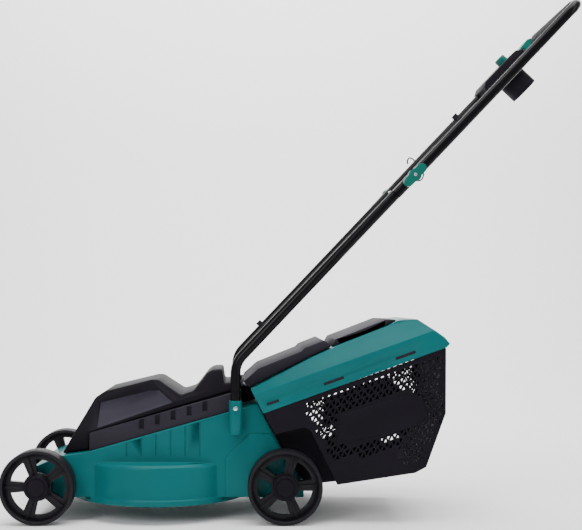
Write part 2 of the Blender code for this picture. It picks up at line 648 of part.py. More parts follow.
def knob(name, side, root, made_of):
    """A bar knob on the fold's bolt, outboard of the upper tube."""
    body = pivot(name, root, (PIVOT_X, side * (UPPER_Y + TUBE_R + RUN), PIVOT_Z))
    face = UPPER_Y + TUBE_R + RUN
    bar = arc((0.0175, 0), 0.009, -math.pi / 2, math.pi / 2, 6) + arc((-0.0175, 0), 0.009, math.pi / 2, 1.5 * math.pi, 6)
    turn = Matrix.Rotation(HANDLE_ANGLE, 2)
    outline = [tuple(turn @ Vector(point) + Vector((PIVOT_X, PIVOT_Z))) for point in bar]
    shape = join(prism(outline, "Y", face + 0.004, face + 0.0165),
                 rod(0.0120, "Y", face, face + 0.014, (PIVOT_X, PIVOT_Z), 24))
    shape = cut(shape, rod(BOLT_R + GAP, "Y", 0, 0.3, (PIVOT_X, PIVOT_Z), 16))
    finish(shape if side > 0 else flipped(shape), name, made_of, body)


def switch_set(bow, paint):
    """Switch housing in two halves round the right tube, with its inlet, switch, lever and button."""
    (y0, y1), (s0, s1) = SWITCH_Y, SWITCH_S
    room = {"low": (s0 + 0.010, y0 + 0.004), "high": (s1 - 0.006, UPPER_Y - TUBE_R - 0.006)}
    upper = prism([(s0, GAP), (s0, 0.011), (s0 + 0.012, SWITCH_TOP), (s1 - 0.006, SWITCH_TOP), (s1, 0.011),
                   (s1, GAP)], "Y", y0, y1)
    for y in (y0 + 0.0004, LEVER_Y[1] + GAP * 2):
        lug = prism([(s1 - 0.004, 0.0012), (s1 - 0.004, 0.0092), (LEVER_AXIS[0] + 0.003, 0.0086),
                     (LEVER_AXIS[0] + 0.003, 0.0012)], "Y", y, y + 0.0020)
        upper = join(upper, lug)
    lower = prism([(s0, -GAP), (s0, -0.009), (s0 + 0.010, SWITCH_LOW), (s1 - 0.005, SWITCH_LOW),
                   (s1, -0.009), (s1, -GAP)], "Y", y0, y1)
    channel = wire(bow_path(), TUBE_R + GAP, 3)
    cord_way = rod(CABLE_R + GAP, "X", s0 - 0.02, s0 + 0.02, (CABLE_Y, 0), 12)
    upper = cut(upper, channel, block((*room["low"], -0.01), (*room["high"], SWITCH_TOP - 0.003)),
                rod(BUTTON_R + RUN, "Z", 0, 0.05, BUTTON), cord_way,
                rod(0.0018, "Y", 0.05, 0.2, LEVER_AXIS, 12))
    channel = wire(bow_path(), TUBE_R + GAP, 3)
    cord_way = rod(CABLE_R + GAP, "X", s0 - 0.02, s0 + 0.02, (CABLE_Y, 0), 12)
    lower = cut(lower, channel, block((*room["low"], SWITCH_LOW + 0.003), (*room["high"], 0.01)), cord_way)
    finish(upper, "switch_box_top", paint["black"], bow, True)
    finish(lower, "switch_box_bottom", paint["black"], bow, True)
    top = SWITCH_LOW - GAP
    cup = turned([(0, top), (INLET_R, top), (INLET_R, top - INLET_DEPTH), (INLET_R - 0.003, top - INLET_DEPTH),
                  (INLET_R - 0.003, top - 0.004), (0, top - 0.004)], "Z", (*INLET, 0), 28)
    finish(cup, "inlet_shroud", paint["black"], bow, True)
    insert = join(rod(0.0165, "Z", top - 0.018, top - 0.004 - GAP, INLET),
                  rod(0.0024, "Z", top - 0.030, top - 0.016, (INLET[0], INLET[1] - 0.007), 12),
                  rod(0.0024, "Z", top - 0.030, top - 0.016, (INLET[0], INLET[1] + 0.007), 12))
    finish(insert, "inlet_pins", paint["black"], bow, True)
    switch = block((s0 + 0.030, 0.112, -0.008), (s0 + 0.060, 0.134, 0.004))
    finish(switch, "micro_switch", paint["black"], bow, True)
    finish(rod(0.0015, "Y", y0 + 0.0004, LEVER_Y[1] + 0.0026, LEVER_AXIS, 12), "lever_pin", paint["bright"], bow, True)
    button = pivot("safety_button", bow, (*BUTTON, SWITCH_TOP))
    cap = turned([(0, 0.0135), (BUTTON_R - 0.002, 0.0135), (BUTTON_R, 0.0115), (BUTTON_R, -0.010), (0, -0.010)],
                 steps=24)
    finish(cap, "safety_button", paint["teal"], button, True)
    lever = pivot("switch_lever", bow, (LEVER_AXIS[0], 0, LEVER_AXIS[1]))
    paddle = prism([(-0.0020, 0.0075), (0.0220, 0.0100), (0.0300, 0.0060), (0.0280, 0.0005), (0.0110, -0.0060),
                    (0.0250, -0.0235), (0.0205, -0.0265), (0.0010, -0.0100), (-0.0040, 0.0005)], "Y", *LEVER_Y)
    paddle = cut(paddle, rod(0.0015 + GAP, "Y", 0, 0.2, (0, 0), 12))
    finish(paddle, "switch_lever", paint["teal"], lever, True)


def cables(fixed, bow, paint):
    """The motor's lead, from the switch housing to the cover; it loops inboard round the fold."""
    inboard = LOWER_Y - CABLE_OFF
    loop = LOWER_Y - 0.030

    def on_handle(t, y, lift=0.0):
        return (PIVOT_X + t * math.cos(HANDLE_ANGLE) - lift * math.sin(HANDLE_ANGLE), y,
                PIVOT_Z + t * math.sin(HANDLE_ANGLE) + lift * math.cos(HANDLE_ANGLE))

    height = top_edge(COVER_REAR) + 0.026
    route = [(COVER_REAR + 0.0042, 0.088, height), (COVER_REAR + 0.0080, 0.088, height),
             (COVER_REAR + 0.0110, 0.100, height - 0.002), (COVER_REAR + 0.0100, 0.118, height),
             (COVER_REAR + 0.0040, DECK_HALF + 0.0005, height + 0.006), (SOCKET_X + 0.006, inboard - 0.001, height + 0.022),
             (SOCKET_X + 0.006, inboard, 0.220), on_handle(-0.455, inboard), on_handle(-0.42, inboard),
             on_handle(-0.30, inboard), on_handle(-0.20, inboard), on_handle(-0.10, inboard),
             on_handle(-0.055, inboard), on_handle(-0.030, inboard - 0.0035), on_handle(-0.013, loop + 0.0095),
             on_handle(-0.004, loop + 0.0072), on_handle(0, loop + 0.0042), on_handle(0, loop + 0.0018)]
    finish(wire(smooth(route, 3), CABLE_R, 2), "lower_cable", paint["cable"], fixed)
    route = [(0, loop, 0), (0, loop - 0.0025, 0), (0.004, loop - 0.0075, 0), (0.018, loop - 0.013, 0), (0.045, loop - 0.008, 0),
             (0.080, loop + 0.004, 0), (0.115, CABLE_Y - 0.009, 0), (0.150, CABLE_Y, 0), (0.200, CABLE_Y, 0),
             (0.250, CABLE_Y, 0), (SWITCH_S[0] + 0.006, CABLE_Y, 0)]
    finish(wire(smooth(route, 3), CABLE_R, 2), "upper_cable", paint["cable"], bow, True)
    grommet = rod(0.0070, "X", COVER_REAR + GAP, COVER_REAR + 0.0030, (0.088, top_edge(COVER_REAR) + 0.026), 16)
    finish(grommet, "cable_gland", paint["black"], fixed)


def smooth(points, steps):
    """A smooth curve through the points, Catmull-Rom, with a few points on each stretch."""
    places = [Vector(p) for p in points]
    places = [2 * places[0] - places[1]] + places + [2 * places[-1] - places[-2]]
    result = []
    for i in range(1, len(places) - 2):
        a, b, c, d = places[i - 1:i + 3]
        for j in range(steps):
            t = j / steps
            result.append(tuple(0.5 * (2 * b + (c - a) * t + (2 * a - 5 * b + 4 * c - d) * t**2
                                       + (3 * b - a - 3 * c + d) * t**3)))
    result.append(tuple(places[-2]))
    return result


def clips(fixed, bow, paint):
    """Moulded clips that hold the lead to the right tubes, and the wire hook for the mains lead."""
    for name, body, s, y, cable_y in (("lower", fixed, -0.40, LOWER_Y, LOWER_Y - CABLE_OFF),
                                      ("upper", bow, 0.225, UPPER_Y, CABLE_Y)):
        ring = join(rod(TUBE_R + 0.0018, "X", s - 0.006, s + 0.006, (y, 0), 20),
                    rod(CABLE_R + 0.0022, "X", s - 0.006, s + 0.006, (cable_y, 0), 16),
                    block((s - 0.006, y - 0.004, 0.006), (s + 0.006, y + 0.004, TUBE_R + 0.0065)))
        ring = cut(ring, rod(TUBE_R + GAP, "X", s - 0.1, s + 0.1, (y, 0), 20),
                   rod(CABLE_R + GAP, "X", s - 0.1, s + 0.1, (cable_y, 0), 16))
        if body is fixed:
            ring.data.transform(Matrix.Translation((PIVOT_X, 0, PIVOT_Z)) @ Matrix.Rotation(-HANDLE_ANGLE, 4, "Y"))
        finish(ring, f"cable_clip_{name}", paint["black"], body, body is bow)
    y = UPPER_Y + TUBE_R + 0.0024
    hook = [(0.080, y, 0.014), (0.084, y, 0.020), (0.091, y, 0.022), (0.096, y, 0.017), (0.095, y, 0.0),
            (0.093, y, -0.018), (0.086, y, -0.028), (0.074, y, -0.031), (0.068, y, -0.025)]
    finish(wire(smooth(hook, 2), 0.0018, 2), "cable_hook", paint["tube"], bow, True)


# ---------------------------------------------------------------- rear flap and grass box


def lid_outline():
    return [(REAR_X - 0.0405, 0.1375), (REAR_X - 0.0645, 0.1825), (REAR_X + 0.054, 0.2435),
            (REAR_X + 0.100, 0.2640), (REAR_X + 0.199, 0.3025), (REAR_X + 0.2185, 0.3130),
            (REAR_X + 0.254, 0.3155), (REAR_X + 0.302, 0.2815), (REAR_X + 0.312, 0.2695), (REAR_X + 0.305, 0.2625)]


def basket_outline():
    return [(REAR_X - 0.0400, 0.1370), (REAR_X + 0.0045, 0.0555), (REAR_X + 0.0405, -0.0030),
            (REAR_X + 0.099, 0.0030), (REAR_X + 0.246, 0.0255), (REAR_X + 0.267, 0.0365),
            (REAR_X + 0.304, 0.1385), (REAR_X + 0.3045, 0.2615)]


def wheel_recess():
    """What the basket's lower front gives up on each side to the rear wheel."""
    return [(REAR_X - 0.100, WHEEL_R + 0.006), (REAR_X + 0.036, WHEEL_R + 0.041),
            (REAR_X + 0.049, WHEEL_R + 0.034), (REAR_X + WHEEL_R + 0.0285, 0.0030),
            (REAR_X + WHEEL_R + 0.0535, -0.0480), (REAR_X - 0.100, -0.0480)]


def tub_form(outline, half, recess, inner_half):
    form = prism(outline, "Y", -half, half)
    for side in (-1, 1):
        low, high = sorted((side * inner_half, side * (half + 0.05)))
        form = cut(form, prism(recess, "Y", low, high))
    return form


def grass_box(body, paint):
    start = lid_outline()[0]
    roof = [(-BOX_HALF, -0.05), (-BOX_HALF, LID_SIDE), (-BOX_HALF + 0.030, LID_SIDE + 0.036),
            (-BOX_HALF + 0.060, 0.3), (BOX_HALF - 0.060, 0.3), (BOX_HALF - 0.030, LID_SIDE + 0.036),
            (BOX_HALF, LID_SIDE), (BOX_HALF, -0.05)]
    tilt = Matrix.Translation((start[0], 0, start[1])) @ Matrix.Rotation(-LID_SLOPE, 4, "Y")

    def form(outline, across):
        vault = prism(across, "X", -0.3, 0.7)
        vault.data.transform(tilt)
        return combine(prism(outline, "Y", -0.3, 0.3), vault, "INTERSECT")

    inner = inset(lid_outline(), BOX_WALL)
    inner[0] = (inner[0][0] + 0.004, inner[0][1] - 0.010)
    inner[-1] = (inner[-1][0] - 0.001, inner[-1][1] - 0.010)
    lid = cut(form(lid_outline(), roof), form(inner, inset(roof, BOX_WALL)))
    pocket = block((REAR_X + 0.112, -0.052, 0.24), (REAR_X + 0.188, 0.052, 0.34))
    lid = cut(lid, pocket)
    for along, half in CLIP_POCKETS:
        place = tilt @ Vector((along, 0, 0.0140))
        for side in (-1, 1):
            low, high = sorted((side * (BOX_HALF - 0.0014), side * (BOX_HALF + 0.01)))
            window = block((-half, low, -0.0027), (half, high, 0.0027))
            window.data.transform(Matrix.Translation(place) @ Matrix.Rotation(-LID_SLOPE, 4, "Y"))
            lid = cut(lid, window)
    finish(lid, "box_lid", paint["teal"], body)

    tub = tub_form(basket_outline(), BOX_HALF - 0.001, wheel_recess(), BOX_INNER_HALF)
    hollow = inset(basket_outline(), BOX_WALL)
    hollow[0] = (hollow[0][0] + 0.002, hollow[0][1] + 0.020)
    hollow[-1] = (hollow[-1][0], hollow[-1][1] + 0.020)
    tub = cut(tub, tub_form(hollow, BOX_HALF - 0.001 - BOX_WALL, inset(wheel_recess(), -BOX_WALL),
                            BOX_INNER_HALF - BOX_WALL))
    mouth = [(REAR_X - 0.08, TUNNEL_FLOOR), (REAR_X - 0.08, TUNNEL_ROOF), (REAR_X - 0.020, TUNNEL_ROOF),
             (REAR_X + 0.040, TUNNEL_FLOOR)]
    tub = cut(tub, prism(mouth, "Y", -TUNNEL_HALF, TUNNEL_HALF))
    for side in (-1, 1):
        low, high = sorted((side * (BOX_HALF - 0.002), side * (BOX_HALF + 0.0006)))
        plate = [(REAR_X + 0.098, 0.104), (REAR_X + 0.107, 0.137), (REAR_X + 0.2385, 0.1745), (REAR_X + 0.256, 0.162),
                 (REAR_X + 0.270, 0.133), (REAR_X + 0.233, 0.112), (REAR_X + 0.098, 0.079)]
        tub = join(tub, prism(plate, "Y", low, high))
    finish(tub, "box_basket", paint["black"], body)

    rim = [(REAR_X + 0.0925, 0.2622), (REAR_X + 0.100, 0.2765), (REAR_X + 0.199, 0.3145), (REAR_X + 0.2180, 0.3137),
           (REAR_X + 0.199, 0.3033), (REAR_X + 0.100, 0.2648)]
    bar = prism(rim, "Y", -0.110, 0.110)
    slot = [(REAR_X + 0.112, 0.2708), (REAR_X + 0.114, 0.2765), (REAR_X + 0.186, 0.3040), (REAR_X + 0.190, 0.3010)]
    for side in (-1, 1):
        low, high = sorted((side * 0.070, side * 0.2))
        bar = cut(bar, prism(slot, "Y", low, high))
    bar = cut(bar, block((REAR_X + 0.114, -0.050, 0.2), (REAR_X + 0.186, 0.050, 0.2745)))
    finish(bar, "box_handle", paint["grey"], body)


def rear_flap(fixed, body, paint):
    """The stepped flap over the front of the grass box, hinged on a pin behind the motor cover."""
    top = [(HINGE_X - 0.0015, HINGE_Z + 0.0060), (REAR_X - 0.050, 0.2205), (REAR_X + 0.033, 0.2535),
           (REAR_X + 0.039, 0.2600), (REAR_X + 0.076, 0.2745), (REAR_X + 0.0885, 0.2665)]
    under = [(REAR_X + 0.0885, 0.2610), (REAR_X + 0.054, 0.2455), (REAR_X - 0.0640, 0.1850 + 0.0015),
             (HINGE_X, HINGE_Z - 0.004)]
    outer = top + under
    inner = inset(outer, 0.0028)
    inner[-2] = (inner[-2][0] + 0.010, inner[-2][1] - 0.010)
    inner[-3] = (inner[-3][0], inner[-3][1] - 0.010)
    inner[-4] = (inner[-4][0] - 0.004, inner[-4][1] - 0.010)
    inner[-1] = (REAR_X - 0.062, 0.196)
    inner[0] = (REAR_X - 0.062, 0.203)
    flap = cut(prism(outer, "Y", -FLAP_HALF, FLAP_HALF), prism(inner, "Y", 0.0025 - FLAP_HALF, FLAP_HALF - 0.0025))
    for side in (-1, 1):
        low, high = sorted((side * BARREL_HALF, side * (BARREL_HALF + 0.0080)))
        flap = cut(flap, block((HINGE_X - 0.02, low, HINGE_Z - 0.02), (HINGE_X + 0.0090, high, HINGE_Z + 0.03)))
    flap = join(flap, rod(0.0062, "Y", -BARREL_HALF, BARREL_HALF, (HINGE_X, HINGE_Z), 20))
    flap = cut(flap, rod(HINGE_R + GAP, "Y", -0.2, 0.2, (HINGE_X, HINGE_Z), 16))
    finish(flap, "rear_flap", paint["grey"], body)
    finish(rod(HINGE_R, "Y", -BARREL_HALF - 0.0070, BARREL_HALF + 0.0070, (HINGE_X, HINGE_Z), 16), "flap_hinge_pin", paint["bright"], fixed)


# ---------------------------------------------------------------- the mower


def build():
    paint = {
        "teal": material("moulded_teal", (0.0, 0.195, 0.195), 0.35),
        "black": material("moulded_black", (0.020, 0.018, 0.022), 0.40),
        "grey": material("moulded_grey", (0.060, 0.056, 0.072), 0.45),
        "tyre": material("wheel_black", (0.018, 0.017, 0.020), 0.50),
        "tube": material("tube_black", (0.010, 0.010, 0.012), 0.20),
        "grip": material("grip_foam", (0.015, 0.015, 0.016), 0.80),
        "cable": material("cable_sheath", (0.012, 0.012, 0.013), 0.50),
        "steel": material("pressed_steel", (0.45, 0.45, 0.46), 0.35, 1.0),
        "bright": material("bright_steel", (0.62, 0.62, 0.63), 0.22, 1.0),
        "alloy": material("cast_aluminium", (0.50, 0.51, 0.52), 0.45, 1.0),
        "copper": material("wound_copper", (0.55, 0.22, 0.08), 0.35, 1.0),
    }
    root = pivot("mower_frame", None, (-(FOOTPRINT_FRONT + FOOTPRINT_REAR) / 2, 0, WHEEL_R))
    fixed = pivot("chassis", root, (0, 0, 0))
    rotor = pivot("rotor", root, (0, 0, 0))
    flap = pivot("rear_flap", root, (HINGE_X, 0, HINGE_Z))
    box = pivot("grass_box", root, (0, 0, 0))
    bow = pivot("upper_handle", root, (PIVOT_X, 0, PIVOT_Z), -HANDLE_ANGLE)
    bpy.context.view_layer.update()

    deck_shell(fixed, paint["teal"])
    cover_band(fixed, paint["grey"])
    motor_cover(fixed, paint["black"])
    for name, side in SIDES:
        handle_socket(f"handle_socket_{name}", side, fixed, paint["teal"])
        socket_screw(f"socket_screw_{name}", side, fixed, paint["bright"])
        knob(f"knob_{name}", side, root, paint["teal"])
    motor(fixed, rotor, paint)
    running_gear(fixed, root, paint)
    tubes(fixed, bow, paint)
    switch_set(bow, paint)
    cables(fixed, bow, paint)
    clips(fixed, bow, paint)
    rear_flap(fixed, flap, paint)
    grass_box(box, paint)


for item in list(bpy.data.objects):
    bpy.data.objects.remove(item, do_unlink=True)
MOWER = new_collection("push_lawn_mower")
build()
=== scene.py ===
"""Looks of the push lawn mower: finishes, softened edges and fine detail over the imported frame."""

import json
import math

import bmesh
import bpy
from mathutils import Matrix, Vector


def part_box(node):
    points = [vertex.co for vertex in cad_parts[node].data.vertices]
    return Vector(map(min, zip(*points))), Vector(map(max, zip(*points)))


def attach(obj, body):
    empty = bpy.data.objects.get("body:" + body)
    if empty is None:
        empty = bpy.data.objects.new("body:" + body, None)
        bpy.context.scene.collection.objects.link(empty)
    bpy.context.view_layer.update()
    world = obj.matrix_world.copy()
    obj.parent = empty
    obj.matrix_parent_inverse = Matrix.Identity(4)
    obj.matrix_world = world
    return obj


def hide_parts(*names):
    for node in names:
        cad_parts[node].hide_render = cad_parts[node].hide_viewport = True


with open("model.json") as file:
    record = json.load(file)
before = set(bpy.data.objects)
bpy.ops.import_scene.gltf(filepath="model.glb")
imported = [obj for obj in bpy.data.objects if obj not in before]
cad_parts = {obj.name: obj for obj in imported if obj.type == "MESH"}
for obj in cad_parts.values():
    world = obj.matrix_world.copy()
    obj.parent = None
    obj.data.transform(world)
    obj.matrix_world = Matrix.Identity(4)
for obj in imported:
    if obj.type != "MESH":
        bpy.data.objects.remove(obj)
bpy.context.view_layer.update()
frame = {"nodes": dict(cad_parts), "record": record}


# ---------------------------------------------------------------- places read from the frame


def middle(node):
    low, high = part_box(node)
    return Vector([(a + b) / 2 for a, b in zip(low, high)])


REAR_AXLE = middle("rear_axle")
FRONT_AXLE = middle("front_axle")
WHEEL_R = (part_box("wheel_rear_left")[1][2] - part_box("wheel_rear_left")[0][2]) / 2
JOINTS = {joint["name"]: joint for joint in frame["record"]["behaviour"]["joints"]}
FOLD = Vector(JOINTS["handle_fold"]["pos_m"])
HANDLE_ANGLE = math.radians(46.5)   # how far the handle leans up from level
LID_SLOPE = math.atan(0.3556)       # of the grass box lid's lower edge

# Sizes of the pieces that are made anew, in metres.
TUBE_R = 0.0095          # steel tube, 19 mm across
TUBE_WALL = 0.0012
BORE_SHOWN = 0.030       # how deep a tube's open end is
BEND_R = 0.050           # where a lower tube leans back
BEND_Z = 0.2325          # that corner above the rear axle
LOWER_RUN = 0.505        # from the corner to a lower tube's end
BOW_LENGTH = 0.4555      # from the fold to the crossbar
BOW_STUB = 0.046         # of the bow below the fold
BOW_CORNER = 0.034
GRIP_OUTER, GRIP_INNER = 0.0118, 0.0096


def behind(x, z):
    """A place measured back from the rear axle and up from it, as (x, z) in the row frame."""
    return (REAR_AXLE.x + x, REAR_AXLE.z + z)


def on_bow(s, y, n):
    """A place in the bow's own frame: along it from the fold, across the mower, and out of its plane."""
    return Vector((FOLD.x + s * math.cos(HANDLE_ANGLE) - n * math.sin(HANDLE_ANGLE), y,
                   FOLD.z + s * math.sin(HANDLE_ANGLE) + n * math.cos(HANDLE_ANGLE)))


# ---------------------------------------------------------------- finishes


def linear(hex_colour, alpha=1.0):
    """An sRGB hex colour as the linear numbers that shaders take."""
    channels = [int(hex_colour[i:i + 2], 16) / 255 for i in (1, 3, 5)]
    return (*[c / 12.92 if c <= 0.04045 else ((c + 0.055) / 1.055) ** 2.4 for c in channels], alpha)


def add(tree, kind, settings=(), **links):
    """Adds a node, sets its properties and inputs, and links the inputs that are given sockets."""
    node = tree.nodes.new(kind)
    for name, value in dict(settings).items():
        setattr(node, name, value)
    for name, value in links.items():
        numbered = name[0] == "i" and name[1:].isdigit()
        socket = node.inputs[int(name[1:]) if numbered else name.replace("_", " ")]
        if isinstance(value, bpy.types.NodeSocket):
            tree.links.new(value, socket)
        else:
            socket.default_value = value
    return node


def shader_of(name, roughness, metallic=0.0, ior=1.5):
    """A material with its shader; a metal keeps the shader's own IOR."""
    made = bpy.data.materials.new(name)
    made.use_nodes = True
    shader = made.node_tree.nodes["Principled BSDF"]
    shader.inputs["Roughness"].default_value = roughness
    shader.inputs["Metallic"].default_value = metallic
    if metallic < 0.5:
        shader.inputs["IOR"].default_value = ior
    return made, made.node_tree, shader


def relieved(tree, shader, height, low, high, strength, depth):
    """Lets one pattern set both the gloss, from low to high roughness, and a relief of that depth."""
    rough = add(tree, "ShaderNodeMapRange", i0=height, i3=low, i4=high)
    tree.links.new(rough.outputs[0], shader.inputs["Roughness"])
    relief = add(tree, "ShaderNodeBump", Strength=strength, Distance=depth, Height=height)
    tree.links.new(relief.outputs["Normal"], shader.inputs["Normal"])


# Sizes of the patterns, in metres.
FLOW_MARK = 1 / 9.0     # soft clouds, as wide as the flow from a gate
PEEL = 1 / 380.0        # orange peel of a baked film, 2.6 mm apart
CELL = 1 / 700.0        # foam cells 1.4 mm apart; real ones are finer and wouldn't show
DRAWN_LINE = 1 / 160.0  # 6 mm along a drawn part and a fourteenth of that across it
CAST_GRAIN = 1 / 420.0  # sand-like grain, 2.4 mm apart
WIRE_TURN = 1 / 240.0   # bands 1.3 mm apart, drawn coarser than the wire's 0.5 mm so as to show


def moulded(name, base, flow_mark, roughness, grain_mm, relief, ior=1.53, specular=0.5):
    """Injection-moulded plastic: one dyed colour with faint flow marks and the tool's spark-eroded grain."""
    made, tree, shader = shader_of(name, roughness, ior=ior)
    shader.inputs["Specular IOR Level"].default_value = specular
    place = add(tree, "ShaderNodeTexCoord").outputs["Object"]
    flow = add(tree, "ShaderNodeTexNoise", Vector=place, Scale=1 / FLOW_MARK, Detail=3.0, Roughness=0.55)
    ramp = add(tree, "ShaderNodeValToRGB", i0=flow.outputs["Fac"])
    for element, colour, position in zip(ramp.color_ramp.elements, (flow_mark, base), (0.25, 0.75)):
        element.color = linear(colour)
        element.position = position
    tree.links.new(ramp.outputs["Color"], shader.inputs["Base Color"])
    grain = add(tree, "ShaderNodeTexNoise", Vector=place, Scale=1000.0 / grain_mm, Detail=2.0, Roughness=0.6)
    relieved(tree, shader, grain.outputs["Fac"], roughness - 0.06, roughness + 0.08, relief, 0.0004)
    return made


def powder_coat(name):
    """Gloss powder coat on steel tube: black, with the slight orange peel of a baked film."""
    made, tree, shader = shader_of(name, 0.2, ior=1.2)
    place = add(tree, "ShaderNodeTexCoord").outputs["Object"]
    peel = add(tree, "ShaderNodeTexNoise", Vector=place, Scale=1 / PEEL, Detail=1.0)
    shader.inputs["Base Color"].default_value = linear("#0C0B0E")
    relieved(tree, shader, peel.outputs["Fac"], 0.17, 0.27, 0.12, 0.0003)
    return made


def foam_rubber(name):
    """Foamed rubber sleeve: dull black with fine open cells."""
    made, tree, shader = shader_of(name, 0.75, ior=1.45)
    place = add(tree, "ShaderNodeTexCoord").outputs["Object"]
    cells = add(tree, "ShaderNodeTexVoronoi", Vector=place, Scale=1 / CELL)
    shader.inputs["Base Color"].default_value = linear("#121214")
    relieved(tree, shader, cells.outputs["Distance"], 0.62, 0.80, 0.4, 0.0005)
    return made


def metal(name, colour, roughness, line=DRAWN_LINE, stretch=(1, 1, 14)):
    """Bare metal with fine lines from drawing, or with an even cast grain when nothing is stretched."""
    made, tree, shader = shader_of(name, roughness, metallic=1.0)
    place = add(tree, "ShaderNodeTexCoord").outputs["Object"]
    mapped = add(tree, "ShaderNodeMapping", Vector=place, Scale=stretch)
    lines = add(tree, "ShaderNodeTexNoise", Vector=mapped.outputs["Vector"], Scale=1 / line, Detail=3.0)
    shader.inputs["Base Color"].default_value = linear(colour)
    relieved(tree, shader, lines.outputs["Fac"], roughness - 0.08, roughness + 0.12, 0.08, 0.0002)
    return made


def wound_copper(name):
    """Varnished magnet wire: fine turns round the core, amber over copper."""
    made, tree, shader = shader_of(name, 0.3, metallic=0.9)
    place = add(tree, "ShaderNodeTexCoord").outputs["Object"]
    turns = add(tree, "ShaderNodeTexWave", {"bands_direction": "Z"}, Vector=place, Scale=1 / WIRE_TURN,
                Distortion=1.5)
    ramp = add(tree, "ShaderNodeValToRGB", i0=turns.outputs["Fac"])
    for element, colour in zip(ramp.color_ramp.elements, ("#5A2C12", "#B5652B")):
        element.color = linear(colour)
    tree.links.new(ramp.outputs["Color"], shader.inputs["Base Color"])
    relief = add(tree, "ShaderNodeBump", Strength=0.4, Distance=0.0005, Height=turns.outputs["Fac"])
    tree.links.new(relief.outputs["Normal"], shader.inputs["Normal"])
    return made


# Moulded slots give: base colour, flow marks, roughness, grain in mm and relief. The big mouldings carry a
# low IOR, since a fine-grained moulding answers a softbox with less glare than a polished one.
FINISH = {
    # ABS from a polished tool: an even, satin teal that takes a soft highlight along its edges.
    "teal_plastic": moulded("teal_abs_moulding", "#005F61", "#005558", 0.30, 1.2, 0.06, 1.2),
    # The same family of teal on the small parts that a hand works, a touch greener and duller.
    "teal_controls": moulded("teal_control_moulding", "#005F56", "#00564C", 0.34, 1.0, 0.08, 1.53, 0.22),
    # Polypropylene with a spark-eroded skin: black with a breath of violet, and no clear reflections.
    "black_plastic": moulded("black_polypropylene_moulding", "#18151C", "#131116", 0.5, 1.2, 0.16, 1.14),
    # The same resin dyed dark grey, a shade paler than the black beside it.
    "grey_plastic": moulded("grey_polypropylene_moulding", "#2D2A32", "#26232A", 0.54, 1.2, 0.16, 1.14),
    # Long thin highlights down the tubes.
    "black_tube": powder_coat("gloss_powder_coat"),
    # The dullest black on the mower, beside the gloss of the bow.
    "grip_rubber": foam_rubber("foam_rubber_sleeve"),
    # Extruded PVC: smooth, black and slightly waxy.
    "cable_sheath": moulded("pvc_sheath", "#0E0D0F", "#0A0A0B", 0.45, 0.8, 0.06, 1.53, 0.3),
    # Zinc plate: pale, a little cloudy grey.
    "zinc_steel": metal("zinc_plated_steel", "#A9ABAD", 0.35),
    # Bare drawn bar and ground blade steel: brighter and sharper than the zinc.
    "bright_steel": metal("bright_drawn_steel", "#C9CACC", 0.22),
    # Die-cast alloy: matt, pale, even in every direction.
    "cast_alloy": metal("die_cast_alloy", "#B4B6B8", 0.5, CAST_GRAIN, (1, 1, 1)),
    # Amber varnish over copper, in fine bands.
    "winding_copper": wound_copper("varnished_copper_winding"),
    # Polypropylene from a smoother tool than the housings': dark, with a slight sheen on the tread.
    "wheel_plastic": moulded("wheel_polypropylene_moulding", "#17151B", "#121115", 0.44, 1.4, 0.2, 1.25),
}
# The sunk panels on the hood's flanks: paler and smoother than the border round them.
PANEL = moulded("panel_polypropylene_moulding", "#3A3743", "#32303B", 0.42, 1.2, 0.14, 1.3)
SLOT_OF = {part["node"]: part["material_slot"] for part in frame["record"]["subparts"]}


# ---------------------------------------------------------------- ways of making a piece


def link(name, data):
    obj = bpy.data.objects.new(name, data)
    bpy.context.scene.collection.objects.link(obj)
    return obj


def solid(name, bm):
    """A finished bmesh as an object at the origin."""
    mesh = bpy.data.meshes.new(name)
    bm.to_mesh(mesh)
    bm.free()
    return link(name, mesh)


def paint(obj, finish):
    obj.data.materials.clear()
    obj.data.materials.append(finish)
    return obj


def evaluated(obj, name=None):
    """The object's shape with its modifiers applied, as a new object at the origin."""
    bpy.context.view_layer.update()
    graph = bpy.context.evaluated_depsgraph_get()
    mesh = bpy.data.meshes.new_from_object(obj.evaluated_get(graph))
    mesh.transform(obj.matrix_world)
    name = name or obj.name
    bpy.data.objects.remove(obj, do_unlink=True)
    return link(name, mesh)


def shade(obj, angle=36):
    obj.data.shade_smooth()
    obj.data.set_sharp_from_angle(angle=math.radians(angle))
    return obj


def mount(obj, body, slot, *nodes):
    """Rides the finished piece on its body and hides what it stands for; slot is not used."""
    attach(obj, body)
    if nodes:
        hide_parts(*nodes)
    return obj


BODY_OF = {node: body for body, nodes in frame["record"]["behaviour"]["bodies"].items() for node in nodes}


def clean_copy(node):
    """The node's solid with its loose triangles merged and its flat faces made whole."""
    bm = bmesh.new()
    bm.from_mesh(frame["nodes"][node].data)
    bmesh.ops.remove_doubles(bm, verts=bm.verts, dist=0.00002)
    bmesh.ops.dissolve_limit(bm, angle_limit=math.radians(1.5), verts=bm.verts, edges=bm.edges)
    return bm


def room_beside(edge):
    """The narrower of the two faces beside an edge: how far its rounding may reach."""
    return min(face.calc_area() / max(e.calc_length() for e in face.edges) for face in edge.link_faces)


# How much of the room beside an edge, and of its own length, a rounding may take; below the least share of
# its full width it is left out. The rounded skin's area lies between two shares of the solid's.
ACROSS, ALONG, LEAST_SHARE = 0.38, 0.45, 0.22
LEAST_AREA, MOST_AREA = 0.955, 1.0005


